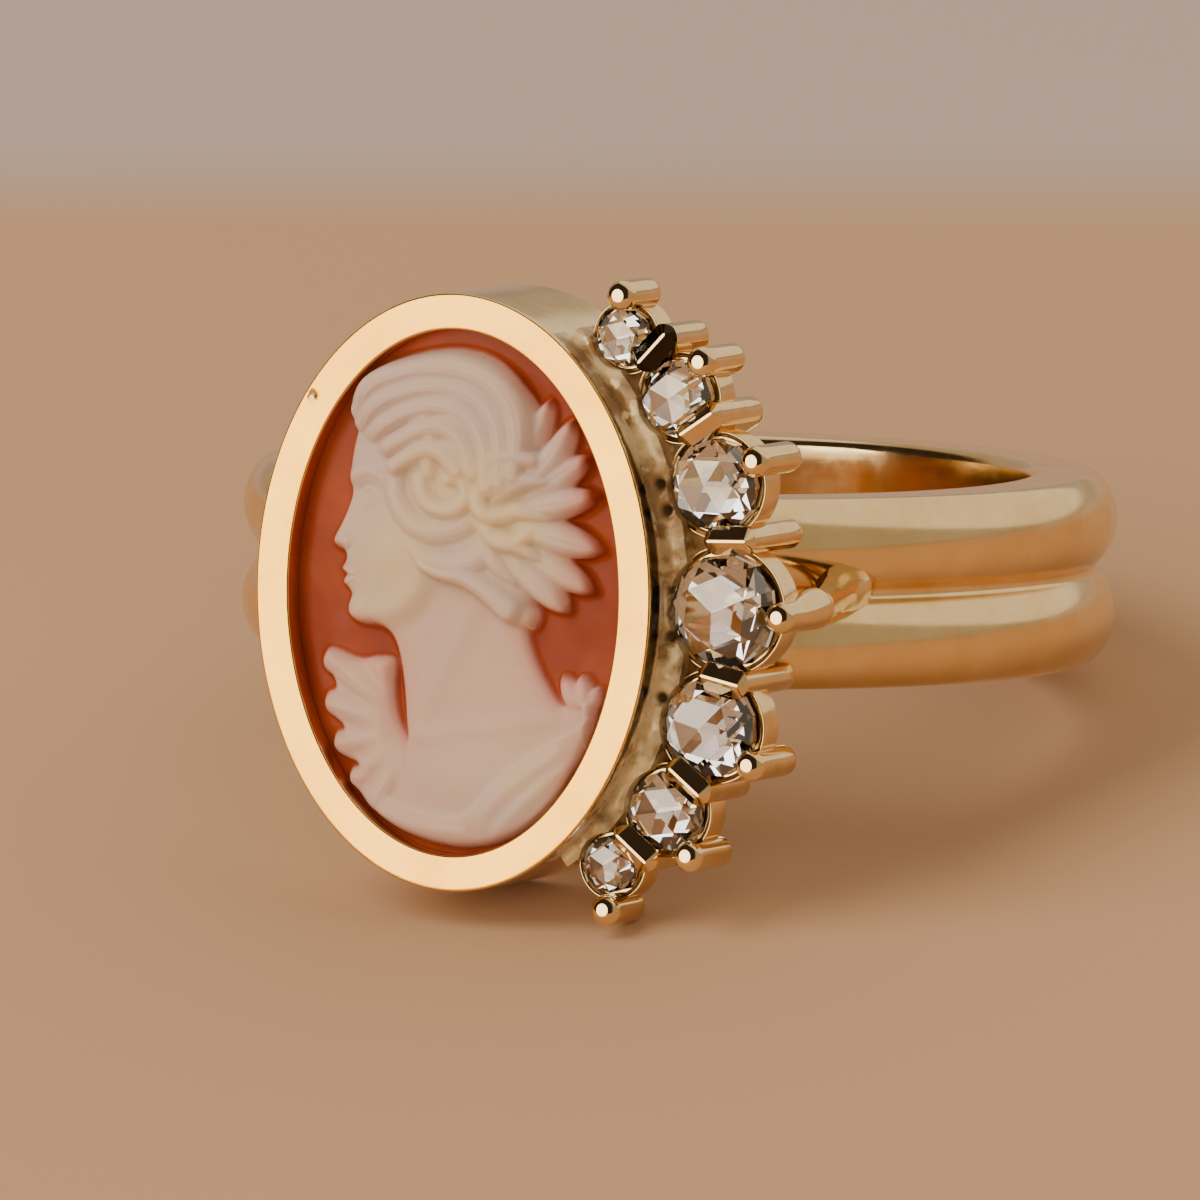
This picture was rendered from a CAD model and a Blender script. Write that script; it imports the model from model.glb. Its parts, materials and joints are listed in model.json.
import json
import math

import bmesh
import bpy
import numpy as np
from bpy.props import FloatProperty, FloatVectorProperty, IntProperty, PointerProperty
from mathutils import Matrix, Vector, noise


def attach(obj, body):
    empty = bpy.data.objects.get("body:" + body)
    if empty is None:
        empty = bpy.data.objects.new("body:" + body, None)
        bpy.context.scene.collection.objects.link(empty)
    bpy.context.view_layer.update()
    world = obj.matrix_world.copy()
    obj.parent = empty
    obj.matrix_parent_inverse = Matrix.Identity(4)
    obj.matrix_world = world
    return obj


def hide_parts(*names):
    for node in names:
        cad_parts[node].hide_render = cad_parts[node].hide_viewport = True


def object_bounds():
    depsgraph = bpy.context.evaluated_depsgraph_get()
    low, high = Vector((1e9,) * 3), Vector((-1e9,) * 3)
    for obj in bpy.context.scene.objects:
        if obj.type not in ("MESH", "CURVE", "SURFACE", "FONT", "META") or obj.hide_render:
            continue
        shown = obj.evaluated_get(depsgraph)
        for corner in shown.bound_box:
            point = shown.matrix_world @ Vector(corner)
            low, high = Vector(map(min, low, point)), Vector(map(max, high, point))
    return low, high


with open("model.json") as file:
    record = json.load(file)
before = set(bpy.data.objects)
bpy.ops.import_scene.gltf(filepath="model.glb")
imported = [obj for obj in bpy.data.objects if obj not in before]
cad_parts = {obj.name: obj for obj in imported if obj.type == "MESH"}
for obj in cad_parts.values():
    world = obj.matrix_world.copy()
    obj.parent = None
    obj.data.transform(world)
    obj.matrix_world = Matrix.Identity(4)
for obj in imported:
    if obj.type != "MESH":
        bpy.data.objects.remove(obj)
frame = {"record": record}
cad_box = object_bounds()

bl_info = {
    "name": "Cameo ring",
    "version": (1, 0, 0),
    "blender": (4, 5, 0),
    "location": "View3D > Sidebar > Cameo Ring",
    "description": "Builds the looks of a cameo ring with a crescent of rose-cut stones",
    "category": "Object",
}

# The head frame lies face up, in mm: x across the finger, y along it, z out through the cameo.
# The record's finger axis gives its place in the row frame.
MM = 0.001
finger_axis = Vector(frame["record"]["mounts"][0]["axis"])
face_axis = Vector((0, -finger_axis.z, finger_axis.y)).normalized()
HEAD = np.array([finger_axis.cross(face_axis), finger_axis, face_axis])

STONE_COUNT = 7
# The middle stone's number, counted from 0 at the top
MIDDLE = 3
# Degrees that the crescent is turned round the oval's middle
CRESCENT_TURN = -0.5
# Between a seat and what sits in it, in mm
GAP = 0.04
# From the middle of the crescent outwards: directions in degrees, lengths in mm
CLAW_DIRECTION = [0, 27, 46, 80]
CLAW_LENGTH = [2.4, 2.3, 2.15, 1.9]
STONE_DIRECTION = [0, 20.6, 37, 52]
STONE_RADIUS = [1.38, 1.16, 0.93, 0.7]
STONE_OFFSET = [1.5, 1.6, 1.345, 0.95]
BAR_DEPTH = [3.05, 2.65, 2.2]
# From the top stone down, what each is off those rules: across the finger, along it, radius, turn of its claw
STONE_OWN = [
    (0, 0, 0, 0),
    (0, 0, 0, 0),
    (-0.03, 0, -0.04, 0),
    (0.02, -0.03, 0, -1.1),
    (0.02, 0.11, 0.04, -3.6),
    (0, 0.05, 0.04, -2),
    (0, 0, 0, 0)]
# From the top bar down: turn, shift outwards, shift towards the next stone
BAR_PLACE = [
    (0.2, 0.56, -0.05),
    (7.4, 0.43, -0.16),
    (-3.4, 0.44, -0.07),
    (-4.8, 0.33, 0.07),
    (-9.4, 0.26, 0.01),
    (8.2, 0.22, 0.01)]
TARNISH = (0.05, 0.036, 0.024)


def to_row(points):
    """Points in mm in the head frame, as metres in the row frame."""
    return np.asarray(points, float) @ HEAD * MM


def sizes_now():
    """Sizes in mm, with those that follow from them."""
    ring = bpy.context.scene.cameo_ring
    lengths = [size.identifier for size in ring.bl_rna.properties if size.type == "FLOAT"]
    s = {key: getattr(ring, key) / MM for key in lengths}
    s["half_w"], s["half_l"] = s["bezel_w"] / 2, s["bezel_l"] / 2
    s["cameo_edge"] = s["bezel_front"] - s["cameo_drop"]
    s["ledge_z"] = s["cameo_edge"] - s["shell_t"] - GAP
    s["tip_z"] = s["girdle_z"] + s["claw_rise"]
    return s


def tone(key):
    """One of the colours in the panel."""
    return tuple(getattr(bpy.context.scene.cameo_colours, key))


# Mesh helpers

def new_piece(name, points, faces, material, node, smooth=True, corner=None):
    """Mesh piece from head-frame points that rides on the ring and stands for a CAD node."""
    mesh = bpy.data.meshes.new(name)
    mesh.from_pydata([tuple(p) for p in to_row(points)], [], faces)
    mesh.validate()
    work = bmesh.new()
    work.from_mesh(mesh)
    bmesh.ops.recalc_face_normals(work, faces=work.faces)
    work.to_mesh(mesh)
    work.free()
    mesh.polygons.foreach_set("use_smooth", [smooth] * len(mesh.polygons))
    if corner is not None:
        mesh.set_sharp_from_angle(angle=math.radians(corner))
    mesh.materials.append(material)
    piece = bpy.data.objects.new(name, mesh)
    bpy.context.scene.collection.objects.link(piece)
    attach(piece, "root")
    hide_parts(node)
    return piece


def paint(piece, name, values):
    """A number at each point of a piece, which its finish reads by name."""
    field = piece.data.attributes.new(name, "FLOAT", "POINT")
    field.data.foreach_set("value", np.asarray(values).reshape(-1).astype(np.float32))


def loop_faces(rows, columns, close_rows=True, close_columns=True):
    """Quads between rows of points, each row a loop where close_columns is set."""
    faces = []
    for i in range(rows if close_rows else rows - 1):
        here, there = i * columns, (i + 1) % rows * columns
        for a in range(columns if close_columns else columns - 1):
            b = (a + 1) % columns
            faces.append((here + a, there + a, there + b, here + b))
    return faces


def end_faces(rows, columns):
    """Faces that close the first and the last row."""
    return [tuple(range(columns)), tuple(range((rows - 1) * columns, rows * columns))[::-1]]


def turned(section, steps, axis="z"):
    """Points of a section (radius, height) turned round an axis, one copy of the section after the other."""
    turn = np.arange(steps) * 2 * math.pi / steps
    section = np.asarray(section, float)
    r = section[None, :, 0]
    h = np.broadcast_to(section[None, :, 1], (steps, len(section)))
    c, s = np.cos(turn)[:, None], np.sin(turn)[:, None]
    parts = (r * c, r * s, h) if axis == "z" else (r * c, h, r * s)
    return np.stack(parts, -1).reshape(-1, 3)


def arc(centre, radius, start, end, steps, first=0):
    """Points along an arc in degrees, without those before the first."""
    t = np.radians(start + (end - start) * np.arange(first, steps + 1) / steps)
    return [(centre[0] + radius * math.cos(a), centre[1] + radius * math.sin(a)) for a in t]


def oval(a, b, degrees):
    t = np.radians(degrees)
    return np.stack([a * np.cos(t), b * np.sin(t)], -1)


def oval_out(degrees, s):
    """Direction straight out from the bezel's wall."""
    t = np.radians(degrees)
    out = np.stack([np.cos(t) / s["half_w"], np.sin(t) / s["half_l"]], -1)
    return out / np.linalg.norm(out, axis=-1, keepdims=True)


def row_of(i):
    """How many stones a stone or claw is away from the middle one."""
    return abs(MIDDLE - i)


def side_of(i):
    return 1 if i <= MIDDLE else -1


def stone_radius(i):
    return STONE_RADIUS[row_of(i)] + STONE_OWN[i][2]


def stone_place(i, s):
    t = side_of(i) * STONE_DIRECTION[row_of(i)] + CRESCENT_TURN
    on_wall = oval(s["half_w"], s["half_l"], t)
    return on_wall + STONE_OFFSET[row_of(i)] * oval_out(t, s) + np.array(STONE_OWN[i][:2])


def claw_place(i, s):
    t = math.radians(side_of(i) * CLAW_DIRECTION[row_of(i)] + STONE_OWN[i][3])
    return stone_place(i, s) + (stone_radius(i) + s["claw_d"] / 2) * np.array([math.cos(t), math.sin(t)])


def bar_place(i, s):
    """Middle of a bar, its direction outwards and its direction aside."""
    turn, outwards, onwards = BAR_PLACE[i]
    p, q = stone_place(i, s), stone_place(i + 1, s)
    reach = np.linalg.norm(q - p)
    d = (q - p) / reach
    turn = math.atan2(d[0], -d[1]) + math.radians(turn)
    out, aside = np.array((math.cos(turn), math.sin(turn))), np.array((-math.sin(turn), math.cos(turn)))
    free = reach - stone_radius(i) - stone_radius(i + 1)
    return p + (stone_radius(i) + free / 2 + onwards) * d + outwards * out, out, aside


def dips(points, places, depth, radius):
    """Depth, at the points, of soft dips at the places."""
    total = np.zeros(len(points))
    for place in places:
        total += depth * np.exp(-((points - place) ** 2).sum(-1) / radius ** 2)
    return total


def uneven(points, size):
    """Smooth unevenness between about -1 and 1 at the points, with bumps of the given size."""
    return np.array([noise.noise(Vector((x, y, 0)) / size) for x, y in points])


# Finishes

def shade(colour, *shares):
    """A colour with its red, green and blue multiplied by the shares, or all three by one share."""
    return tuple(c * k for c, k in zip(colour, shares * (3 // len(shares))))


class Finish:
    """Short way to write a node material."""

    def __init__(self, name):
        self.material = bpy.data.materials.new(name)
        self.material.use_nodes = True
        self.tree = self.material.node_tree
        self.shader = self.tree.nodes["Principled BSDF"]
        self.place = self.add("ShaderNodeTexCoord").outputs["Object"]

    def add(self, kind, **values):
        node = self.tree.nodes.new(kind)
        for key, value in values.items():
            if key in node.inputs:
                node.inputs[key].default_value = value
            else:
                setattr(node, key, value)
        return node

    def join(self, start, end):
        self.tree.links.new(start, end)

    def stretched(self, scale, turn):
        node = self.add("ShaderNodeMapping")
        node.inputs["Scale"].default_value = scale
        node.inputs["Rotation"].default_value = turn
        self.join(self.place, node.inputs["Vector"])
        return node.outputs["Vector"]

    def noise(self, scale, detail, roughness, vector=None):
        node = self.add("ShaderNodeTexNoise", Scale=scale, Detail=detail, Roughness=roughness)
        self.join(vector or self.place, node.inputs["Vector"])
        return node.outputs["Fac"]

    def painted(self, name):
        """The numbers that paint() left on the piece."""
        return self.add("ShaderNodeAttribute", attribute_name=name).outputs["Fac"]

    def ramp(self, value, stops):
        node = self.add("ShaderNodeValToRGB")
        self.join(value, node.inputs["Fac"])
        points = node.color_ramp.elements
        while len(points) < len(stops):
            points.new(0.5)
        for point, (at, colour) in zip(points, stops):
            point.position = at
            point.color = (*colour, 1)
        return node.outputs["Color"]

    def spread(self, value, low, high, start, end):
        """Goes from low to high while the value goes from start to end."""
        node = self.add("ShaderNodeMapRange")
        self.join(value, node.inputs["Value"])
        for key, number in (("From Min", start), ("From Max", end), ("To Min", low), ("To Max", high)):
            node.inputs[key].default_value = number
        return node.outputs["Result"]

    def mixed(self, share, first, second):
        """Goes from the first colour to the second while the share goes from 0 to 1."""
        node = self.add("ShaderNodeMix", data_type="RGBA")
        self.join(share, node.inputs[0])
        for end, value in ((node.inputs[6], first), (node.inputs[7], second)):
            if isinstance(value, bpy.types.NodeSocket):
                self.join(value, end)
            else:
                end.default_value = (*value, 1)
        return node.outputs[2]

    def bump(self, height, strength, distance):
        node = self.add("ShaderNodeBump", Strength=strength, Distance=distance)
        self.join(height, node.inputs["Height"])
        self.join(node.outputs["Normal"], self.shader.inputs["Normal"])

    def set(self, **values):
        for key, value in values.items():
            self.shader.inputs[key.replace("_", " ")].default_value = value

    def link(self, **values):
        for key, value in values.items():
            self.join(value, self.shader.inputs[key.replace("_", " ")])


def gold_finish(name, colour, rough, wear=0.5, cloud=900, scratch=0.25):
    """Polished yellow gold: slight colour change, uneven polish and hair-fine scratches."""
    f = Finish(name)
    f.set(Metallic=1.0)
    clouds = f.ramp(f.noise(cloud, 4.0, 0.6), [(0.3, shade(colour, 0.90, 0.84, 0.72)), (0.62, colour)])
    f.link(Base_Color=f.mixed(f.painted("dirt"), clouds, TARNISH))
    haze = f.noise(cloud * 2.3, 5.0, 0.65)
    f.link(Roughness=f.spread(haze, rough * (1 - wear), rough * (1 + wear), 0.3, 0.7))
    hair = f.noise(1600, 2.0, 0.7, f.stretched((0.12, 1.0, 3.2), (0.2, 0.5, 0.3)))
    f.bump(hair, scratch, 0.000004)
    return f.material


def gallery_finish(name, colour):
    """Gold that the polish doesn't reach: granular, with brown in its hollows."""
    f = Finish(name)
    f.set(Metallic=0.3)
    grain = f.noise(1500, 5.0, 0.6)
    brown, olive = shade(colour, 0.36, 0.25, 0.16), shade(colour, 0.78, 0.74, 0.62)
    pale = f.ramp(grain, [(0.38, brown), (0.50, shade(olive, 0.75)), (0.66, olive)])
    patches = f.spread(f.noise(620, 4.0, 0.65), 0, 0.8, 0.50, 0.60)
    stained = f.mixed(patches, pale, shade(colour, 0.30, 0.20, 0.12))
    flecks = f.spread(f.noise(2300, 2.0, 0.5), 0, 0.75, 0.62, 0.68)
    bright = (0.92, 0.70, 0.36)
    crust = (0.09, 0.045, 0.016)
    f.link(Base_Color=f.mixed(f.painted("dirt"), f.mixed(flecks, stained, bright), crust))
    f.link(Roughness=f.spread(grain, 0.22, 0.42, 0.35, 0.65))
    f.bump(f.noise(1700, 4.0, 0.6), 0.8, 0.00002)
    return f.material


def shell_finish(ground, white, cream):
    """Carved shell: the height of the carving sets how far the white layer covers the orange one."""
    f = Finish("carved_shell")
    relief = f.painted("relief")
    cloud = f.noise(420, 3.0, 0.5)
    red = f.ramp(cloud, [(0.3, shade(ground, 0.72, 0.55, 0.5)), (0.6, ground), (0.8, shade(ground, 1.25))])
    blush = (0.60, 0.27, 0.20)
    haze = f.mixed(f.spread(f.noise(330, 2.0, 0.5), 0, 0.5, 0.42, 0.66), white, cream)
    milk = f.mixed(f.painted("thick"), haze, cream)
    thin = f.mixed(f.spread(relief, 0, 1, 0.02, 0.18), red, blush)
    f.link(Base_Color=f.mixed(f.spread(relief, 0, 1, 0.10, 0.50), thin, milk))
    f.link(Subsurface_Weight=f.spread(relief, 0.05, 0.55, 0.05, 0.4))
    f.set(Subsurface_Scale=0.0007, Subsurface_Radius=(1.0, 0.55, 0.4), IOR=1.5, Specular_IOR_Level=0.14)
    f.link(Roughness=f.spread(f.noise(1500, 4.0, 0.6), 0.24, 0.40, 0.3, 0.7))
    f.bump(f.noise(2600, 4.0, 0.6, f.stretched((0.5, 1.6, 1.0), (0.4, 0, 0.7))), 0.25, 0.000008)
    return f.material


def stone_finish(tint):
    """Clear stone with polished facets, and a trace of cloud inside."""
    f = Finish("clear_stone")
    f.set(Transmission_Weight=1.0, IOR=2.42, Metallic=0.0)
    f.link(Base_Color=f.ramp(f.noise(900, 2.0, 0.5), [(0.3, shade(tint, 0.95)), (0.7, tint)]))
    f.link(Roughness=f.spread(f.noise(2000, 3.0, 0.5), 0.0, 0.02, 0.3, 0.7))
    return f.material


def floor_finish(near, far):
    """Plain floor that turns paler and greyer far behind the ring."""
    view_turn = -0.2075
    change_start, change_end = 0.040, 0.048
    f = Finish("floor_finish")
    f.set(Roughness=0.75, Specular_IOR_Level=0.2)
    split = f.add("ShaderNodeSeparateXYZ")
    f.join(f.stretched((1, 1, 1), (0, 0, view_turn)), split.inputs["Vector"])
    f.link(Base_Color=f.mixed(f.spread(split.outputs["Y"], 0, 1, change_start, change_end), near, far))
    return f.material


# Carving of the cameo: places are (across, up) in mm from its middle, heights in mm above its ground

BROW = [(-1, 4.9), (-2.35, 4.55), (-2.66, 4.05), (-2.82, 3.45), (-2.9, 2.92), (-2.9, 2.55), (-2.83, 2.26)]
NOSE = [(-2.92, 1.92), (-3.1, 1.55), (-3.29, 1.22), (-3.34, 1.05), (-3.24, 0.92), (-3.05, 0.87)]
LIPS = [(-2.97, 0.76), (-2.99, 0.61), (-3.08, 0.49), (-3.08, 0.38), (-2.96, 0.29), (-3.03, 0.18),
        (-3.01, 0.04)]
CHIN = [(-2.88, -0.08), (-2.82, -0.22), (-2.88, -0.42), (-2.88, -0.62), (-2.72, -0.82), (-2.42, -0.9),
        (-2.1, -0.9)]
THROAT = [(-1.85, -1.02), (-1.64, -1.3), (-1.5, -1.75), (-1.4, -2.4), (-1.34, -3.1), (-1.3, -3.75)]
HEM = [(-1.8, -4.5), (-2.3, -5.2), (-1.95, -5.62), (-1.2, -5.98), (0.08, -6.2), (1.3, -6), (2.35, -5.38)]
SHOULDER = [(3.15, -4.4), (3.62, -3.3), (3.78, -2.45), (3.45, -2.3), (2.92, -2.55), (2.52, -2.1)]
NAPE = [(2.12, -1.3), (1.9, -0.4), (1.9, 1), (1.5, 3), (0.5, 4.2)]
JAW = [(-2.8, -0.88), (-2.1, -0.8), (-1.4, -0.55), (-0.9, -0.15), (-0.6, 0.4), (-0.5, 1.1)]
BELOW_JAW = [(3.5, 1.1), (3.5, -7), (-3.6, -7), (-3.6, -0.88)]
NECKLINE = [(-2.6, -4.9), (-1.9, -4.95), (-1, -5.22), (0.1, -5.36), (0.6, -5.1), (1.2, -4.45), (2.07, -3.72),
            (3.2, -3.12), (4.3, -2.8), (4.3, -7), (-3, -7)]
# Height, place and reach of each soft form of the face
FACE_BUMPS = [
    (0.10, (-1.62, 0.95), (0.85, 0.75)),    # cheek
    (0.06, (-2.58, -0.50), (0.3, 0.3)),    # chin
    (0.05, (-2.2, 3.2), (0.6, 0.6)),    # forehead
    (-0.17, (-2.38, 2.30), (0.32, 0.20)),    # eye socket
    (0.12, (-2.28, 2.22), (0.21, 0.13)),    # eyeball
    (0.10, (-2.86, 1.08), (0.15, 0.13)),    # wing of the nose
    (-0.05, (-2.72, -0.16), (0.16, 0.09))]    # under the lip
# Height and line of each narrow form of the face, and its half width at the start and the end
FACE_RIDGES = [
    (0.06, [(-2.78, 2.66), (-2.42, 2.84), (-2.02, 2.80), (-1.66, 2.58)], 0.17, 0.10),    # brow
    (0.05, [(-2.56, 2.24), (-2.40, 2.38), (-2.16, 2.40), (-1.88, 2.24)], 0.055, 0.045),    # upper lid
    (-0.035, [(-2.50, 2.40), (-2.36, 2.51), (-2.10, 2.52), (-1.82, 2.35)], 0.05, 0.04),    # fold over the lid
    (0.03, [(-2.48, 2.11), (-2.28, 2.05), (-2.00, 2.11)], 0.05, 0.04),    # lower lid
    (0.06, [(-2.78, 2.25), (-2.86, 1.85), (-3.02, 1.45), (-3.12, 1.18)], 0.15, 0.19),    # bridge of the nose
    (-0.05, [(-2.78, 1.30), (-2.67, 1.16), (-2.69, 0.99), (-2.80, 0.91)], 0.05, 0.05),    # beside the nose
    (0.06, [(-3.02, 0.40), (-2.84, 0.40), (-2.62, 0.31)], 0.10, 0.03),    # upper lip
    (0.06, [(-2.98, 0.12), (-2.82, 0.14), (-2.62, 0.25)], 0.10, 0.03),    # lower lip
    (-0.06, [(-2.98, 0.285), (-2.78, 0.29), (-2.56, 0.275)], 0.04, 0.035)]    # mouth
# Line and width of each fold
GOWN_FOLDS = [
    ([(-1.9, -5.45), (-0.9, -5.72), (0.3, -5.82)], 0.16),
    ([(0.9, -5.4), (1.7, -4.6), (2.9, -3.72)], 0.20),
    ([(1.3, -5.7), (2.1, -4.9), (3.1, -4.05)], 0.18)]
# Middle and radius of each lobe
RUFFLE_LOBES = [((-3.28, -1.88), 0.36), ((-3.2, -2.88), 0.38), ((-2.96, -3.82), 0.36), ((-2.54, -4.66), 0.34)]
RUFFLE_TOP = [(-1.62, -1.72), (-2.1, -1.66), (-2.6, -1.74)]
RUFFLE_INNER = [(-2.1, -5.5), (-1.2, -5.3), (-1, -4.5), (-1.22, -3.7), (-1.5, -3.1), (-1.62, -2.4)]
HAIR = [(-2.1, 3.4), (-2.42, 3.62), (-2.72, 3.86), (-2.9, 4.16), (-2.86, 4.52), (-2.68, 4.86), (-2.44, 5.2),
        (-1.95, 5.44), (-1.2, 5.66), (-0.5, 5.84), (0.25, 5.84), (0.95, 5.66), (1.6, 5.26), (2.05, 4.66),
        (2.15, 4), (2.05, 3.2), (1.95, 2.2), (1.95, 1.2), (2, 0.3), (1.95, -0.55), (1.35, -0.58),
        (0.75, -0.2), (0.25, 0.16), (-0.3, 0.3), (-0.85, 0.62), (-1.22, 1.2), (-1.38, 1.85), (-1.52, 2.5),
        (-1.78, 3.05)]
# Line of each combed tress, and its half width at the start and the end
TRESSES = [
    ([(-2.62, 4.3), (-2.1, 5), (-0.9, 5.42), (0.35, 5.44), (1.35, 4.98), (1.82, 4.05), (1.75, 3)], 0.3, 0.4),
    ([(-2.52, 3.96), (-1.85, 4.6), (-0.75, 4.98), (0.25, 4.98), (1.05, 4.55), (1.42, 3.75), (1.4, 2.8)],
     0.28, 0.38),
    ([(-2.25, 3.66), (-1.55, 4.16), (-0.65, 4.52), (0.15, 4.5), (0.75, 4.12), (1.06, 3.45), (1.1, 2.7)],
     0.26, 0.36),
    ([(-1.92, 3.32), (-1.25, 3.7), (-0.55, 4.02), (0.05, 3.98), (0.48, 3.62), (0.74, 3)], 0.24, 0.34),
    ([(-1.68, 2.85), (-1.15, 3.2), (-0.6, 3.48), (-0.1, 3.42), (0.3, 3.05)], 0.22, 0.34),
    ([(-0.85, 0.78), (-0.2, 0.5), (0.5, 0.42), (1.15, 0.1), (1.7, -0.34)], 0.18, 0.34)]
# Line of each leaf, its half width and its height
LEAVES = [
    ([(1.2, 2.7), (1.95, 3.7), (2.38, 4.72)], 0.36, 0.6),
    ([(1, 1.2), (1.6, 0.1), (2.06, -0.7)], 0.44, 0.6),
    ([(1.5, 2.5), (2.5, 3.3), (3, 4.24)], 0.42, 0.72),
    ([(1.2, 1.3), (2.3, 0.35), (2.98, -0.26)], 0.44, 0.7),
    ([(1.6, 2.3), (2.7, 2.9), (3.42, 3.42)], 0.42, 0.62),
    ([(1.4, 1.5), (2.7, 0.75), (3.62, 0.22)], 0.44, 0.62),
    ([(1.6, 2.1), (2.8, 2.3), (3.68, 2.52)], 0.42, 0.74),
    ([(1.5, 1.8), (2.9, 1.45), (3.84, 1.22)], 0.46, 0.74),
    ([(1.05, 2.5), (1.35, 3.1), (1.95, 3.46)], 0.34, 0.84),
    ([(1.2, 2.3), (1.9, 2.8), (2.6, 2.84)], 0.34, 0.92),
    ([(1.2, 1.9), (1.9, 2.1), (2.66, 1.94)], 0.34, 0.86),
    ([(1.1, 1.6), (1.8, 1.3), (2.46, 0.96)], 0.34, 0.92),
    ([(0.9, 1.4), (1.3, 0.8), (1.8, 0.34)], 0.34, 0.84)]
FRILLS = [
    ([(3.25, -2.62), (3.08, -2.25), (2.9, -1.84)], 0.26, 0.4),
    ([(3.4, -2.6), (3.45, -2.25), (3.38, -1.84)], 0.26, 0.46),
    ([(3.5, -2.6), (3.66, -2.4), (3.8, -2.12)], 0.24, 0.4)]
# Line of each loose lock, its half width at the start and the end, and its height
LOCKS = [
    ([(-0.95, 3.2), (-0.85, 3.95), (-0.5, 4.5), (0.1, 4.78), (0.72, 4.74), (1.2, 4.4), (1.5, 3.85)],
     0.32, 0.36, 0.94),
    ([(-0.55, 2.95), (-0.5, 3.7), (-0.15, 4.12), (0.4, 4.2), (0.82, 3.9), (1.0, 3.4)], 0.28, 0.30, 0.97),
    ([(-1.5, 2.95), (-1.42, 2.3), (-1.05, 1.75), (-0.45, 1.5), (0.2, 1.6), (0.6, 1.85)], 0.28, 0.36, 0.86),
    ([(-1.0, 1.1), (-0.5, 0.8), (0.2, 0.72), (0.85, 0.95), (1.2, 1.5)], 0.26, 0.36, 0.84),
    ([(0.2, 0.42), (0.8, 0.3), (1.4, 0.0), (1.95, -0.45)], 0.26, 0.3, 0.66),
    ([(-0.75, 2.75), (-0.62, 2.3), (-0.2, 2.05), (0.3, 2.1), (0.55, 2.45), (0.35, 2.8), (0.0, 2.78)],
     0.26, 0.2, 0.96),
    ([(-0.4, 3.35), (0.0, 3.55), (0.42, 3.35), (0.62, 2.95)], 0.24, 0.24, 0.98),
    ([(0.75, 3.0), (1.1, 3.28), (1.62, 3.42), (2.15, 3.36)], 0.28, 0.2, 1.0),
    ([(0.78, 2.62), (0.86, 2.22), (1.12, 1.96), (1.6, 1.98)], 0.27, 0.22, 0.98),
    ([(0.95, 1.75), (1.3, 1.4), (1.75, 1.3), (2.1, 1.5)], 0.26, 0.2, 0.92)]


def smooth_line(points, closed=False):
    """Points along a smooth curve through the given ones."""
    steps = 5
    p = np.asarray(points, float)
    n = len(p)
    out = []
    for i in range(n if closed else n - 1):
        a, b, c, d = (p[k % n] if closed else p[min(max(k, 0), n - 1)] for k in (i - 1, i, i + 1, i + 2))
        t = np.linspace(0, 1, steps, endpoint=False)[:, None]
        bend, twist = 2 * a - 5 * b + 4 * c - d, 3 * b - a - 3 * c + d
        out.append(0.5 * (2 * b + (c - a) * t + bend * t ** 2 + twist * t ** 3))
    if not closed:
        out.append(p[-1:])
    return np.concatenate(out)


def along(x, y, line, closed=False):
    """Distance from each point to a line, and how far along the line its nearest place is."""
    best = np.full(x.shape, 1e9)
    share = np.zeros(x.shape)
    n = len(line)
    last = n if closed else n - 1
    for i in range(last):
        a, b = line[i], line[(i + 1) % n]
        d = b - a
        t = np.clip(((x - a[0]) * d[0] + (y - a[1]) * d[1]) / (d @ d + 1e-12), 0, 1)
        q = np.hypot(x - a[0] - t * d[0], y - a[1] - t * d[1])
        nearer = q < best
        best = np.where(nearer, q, best)
        share = np.where(nearer, (i + t) / last, share)
    return best, share


def within(x, y, line):
    """Whether each point is inside a closed line."""
    found = np.zeros(x.shape, bool)
    for i in range(len(line)):
        a, b = line[i], line[(i + 1) % len(line)]
        crosses = (a[1] > y) != (b[1] > y)
        found ^= crosses & (x < a[0] + (y - a[1]) * (b[0] - a[0]) / (b[1] - a[1] + 1e-12))
    return found


def depth_in(x, y, line):
    """Distance inside a closed line, negative outside it."""
    return along(x, y, line, True)[0] * np.where(within(x, y, line), 1, -1)


def dome(d, w):
    """Quarter-round rise from 0 to 1 over the first w of the depth d."""
    t = np.clip(d / w, 0, 1)
    return np.sqrt(1 - (1 - t) ** 2)


def step(x, low, high):
    """Soft rise from 0 to 1 between low and high."""
    t = np.clip((x - low) / (high - low), 0, 1)
    return t * t * (3 - 2 * t)


def bump(x, y, centre, radius):
    return np.exp(-((x - centre[0]) / radius[0]) ** 2 - ((y - centre[1]) / radius[1]) ** 2)


def crease(x, y, points, width):
    """Soft line of height 1."""
    return np.exp(-(along(x, y, smooth_line(points))[0] / width) ** 2)


def ridge(x, y, points, start, end):
    """Half-round line of height 1, with its half width at the start and the end."""
    d, t = along(x, y, smooth_line(points))
    return np.sqrt(np.clip(1 - (d / (start + (end - start) * t)) ** 2, 0, 1))


def face_height(x, y):
    """Relief of the face over the head's round form."""
    return (sum(height * bump(x, y, place, reach) for height, place, reach in FACE_BUMPS)
            + sum(height * ridge(x, y, *line) for height, *line in FACE_RIDGES))


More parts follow.
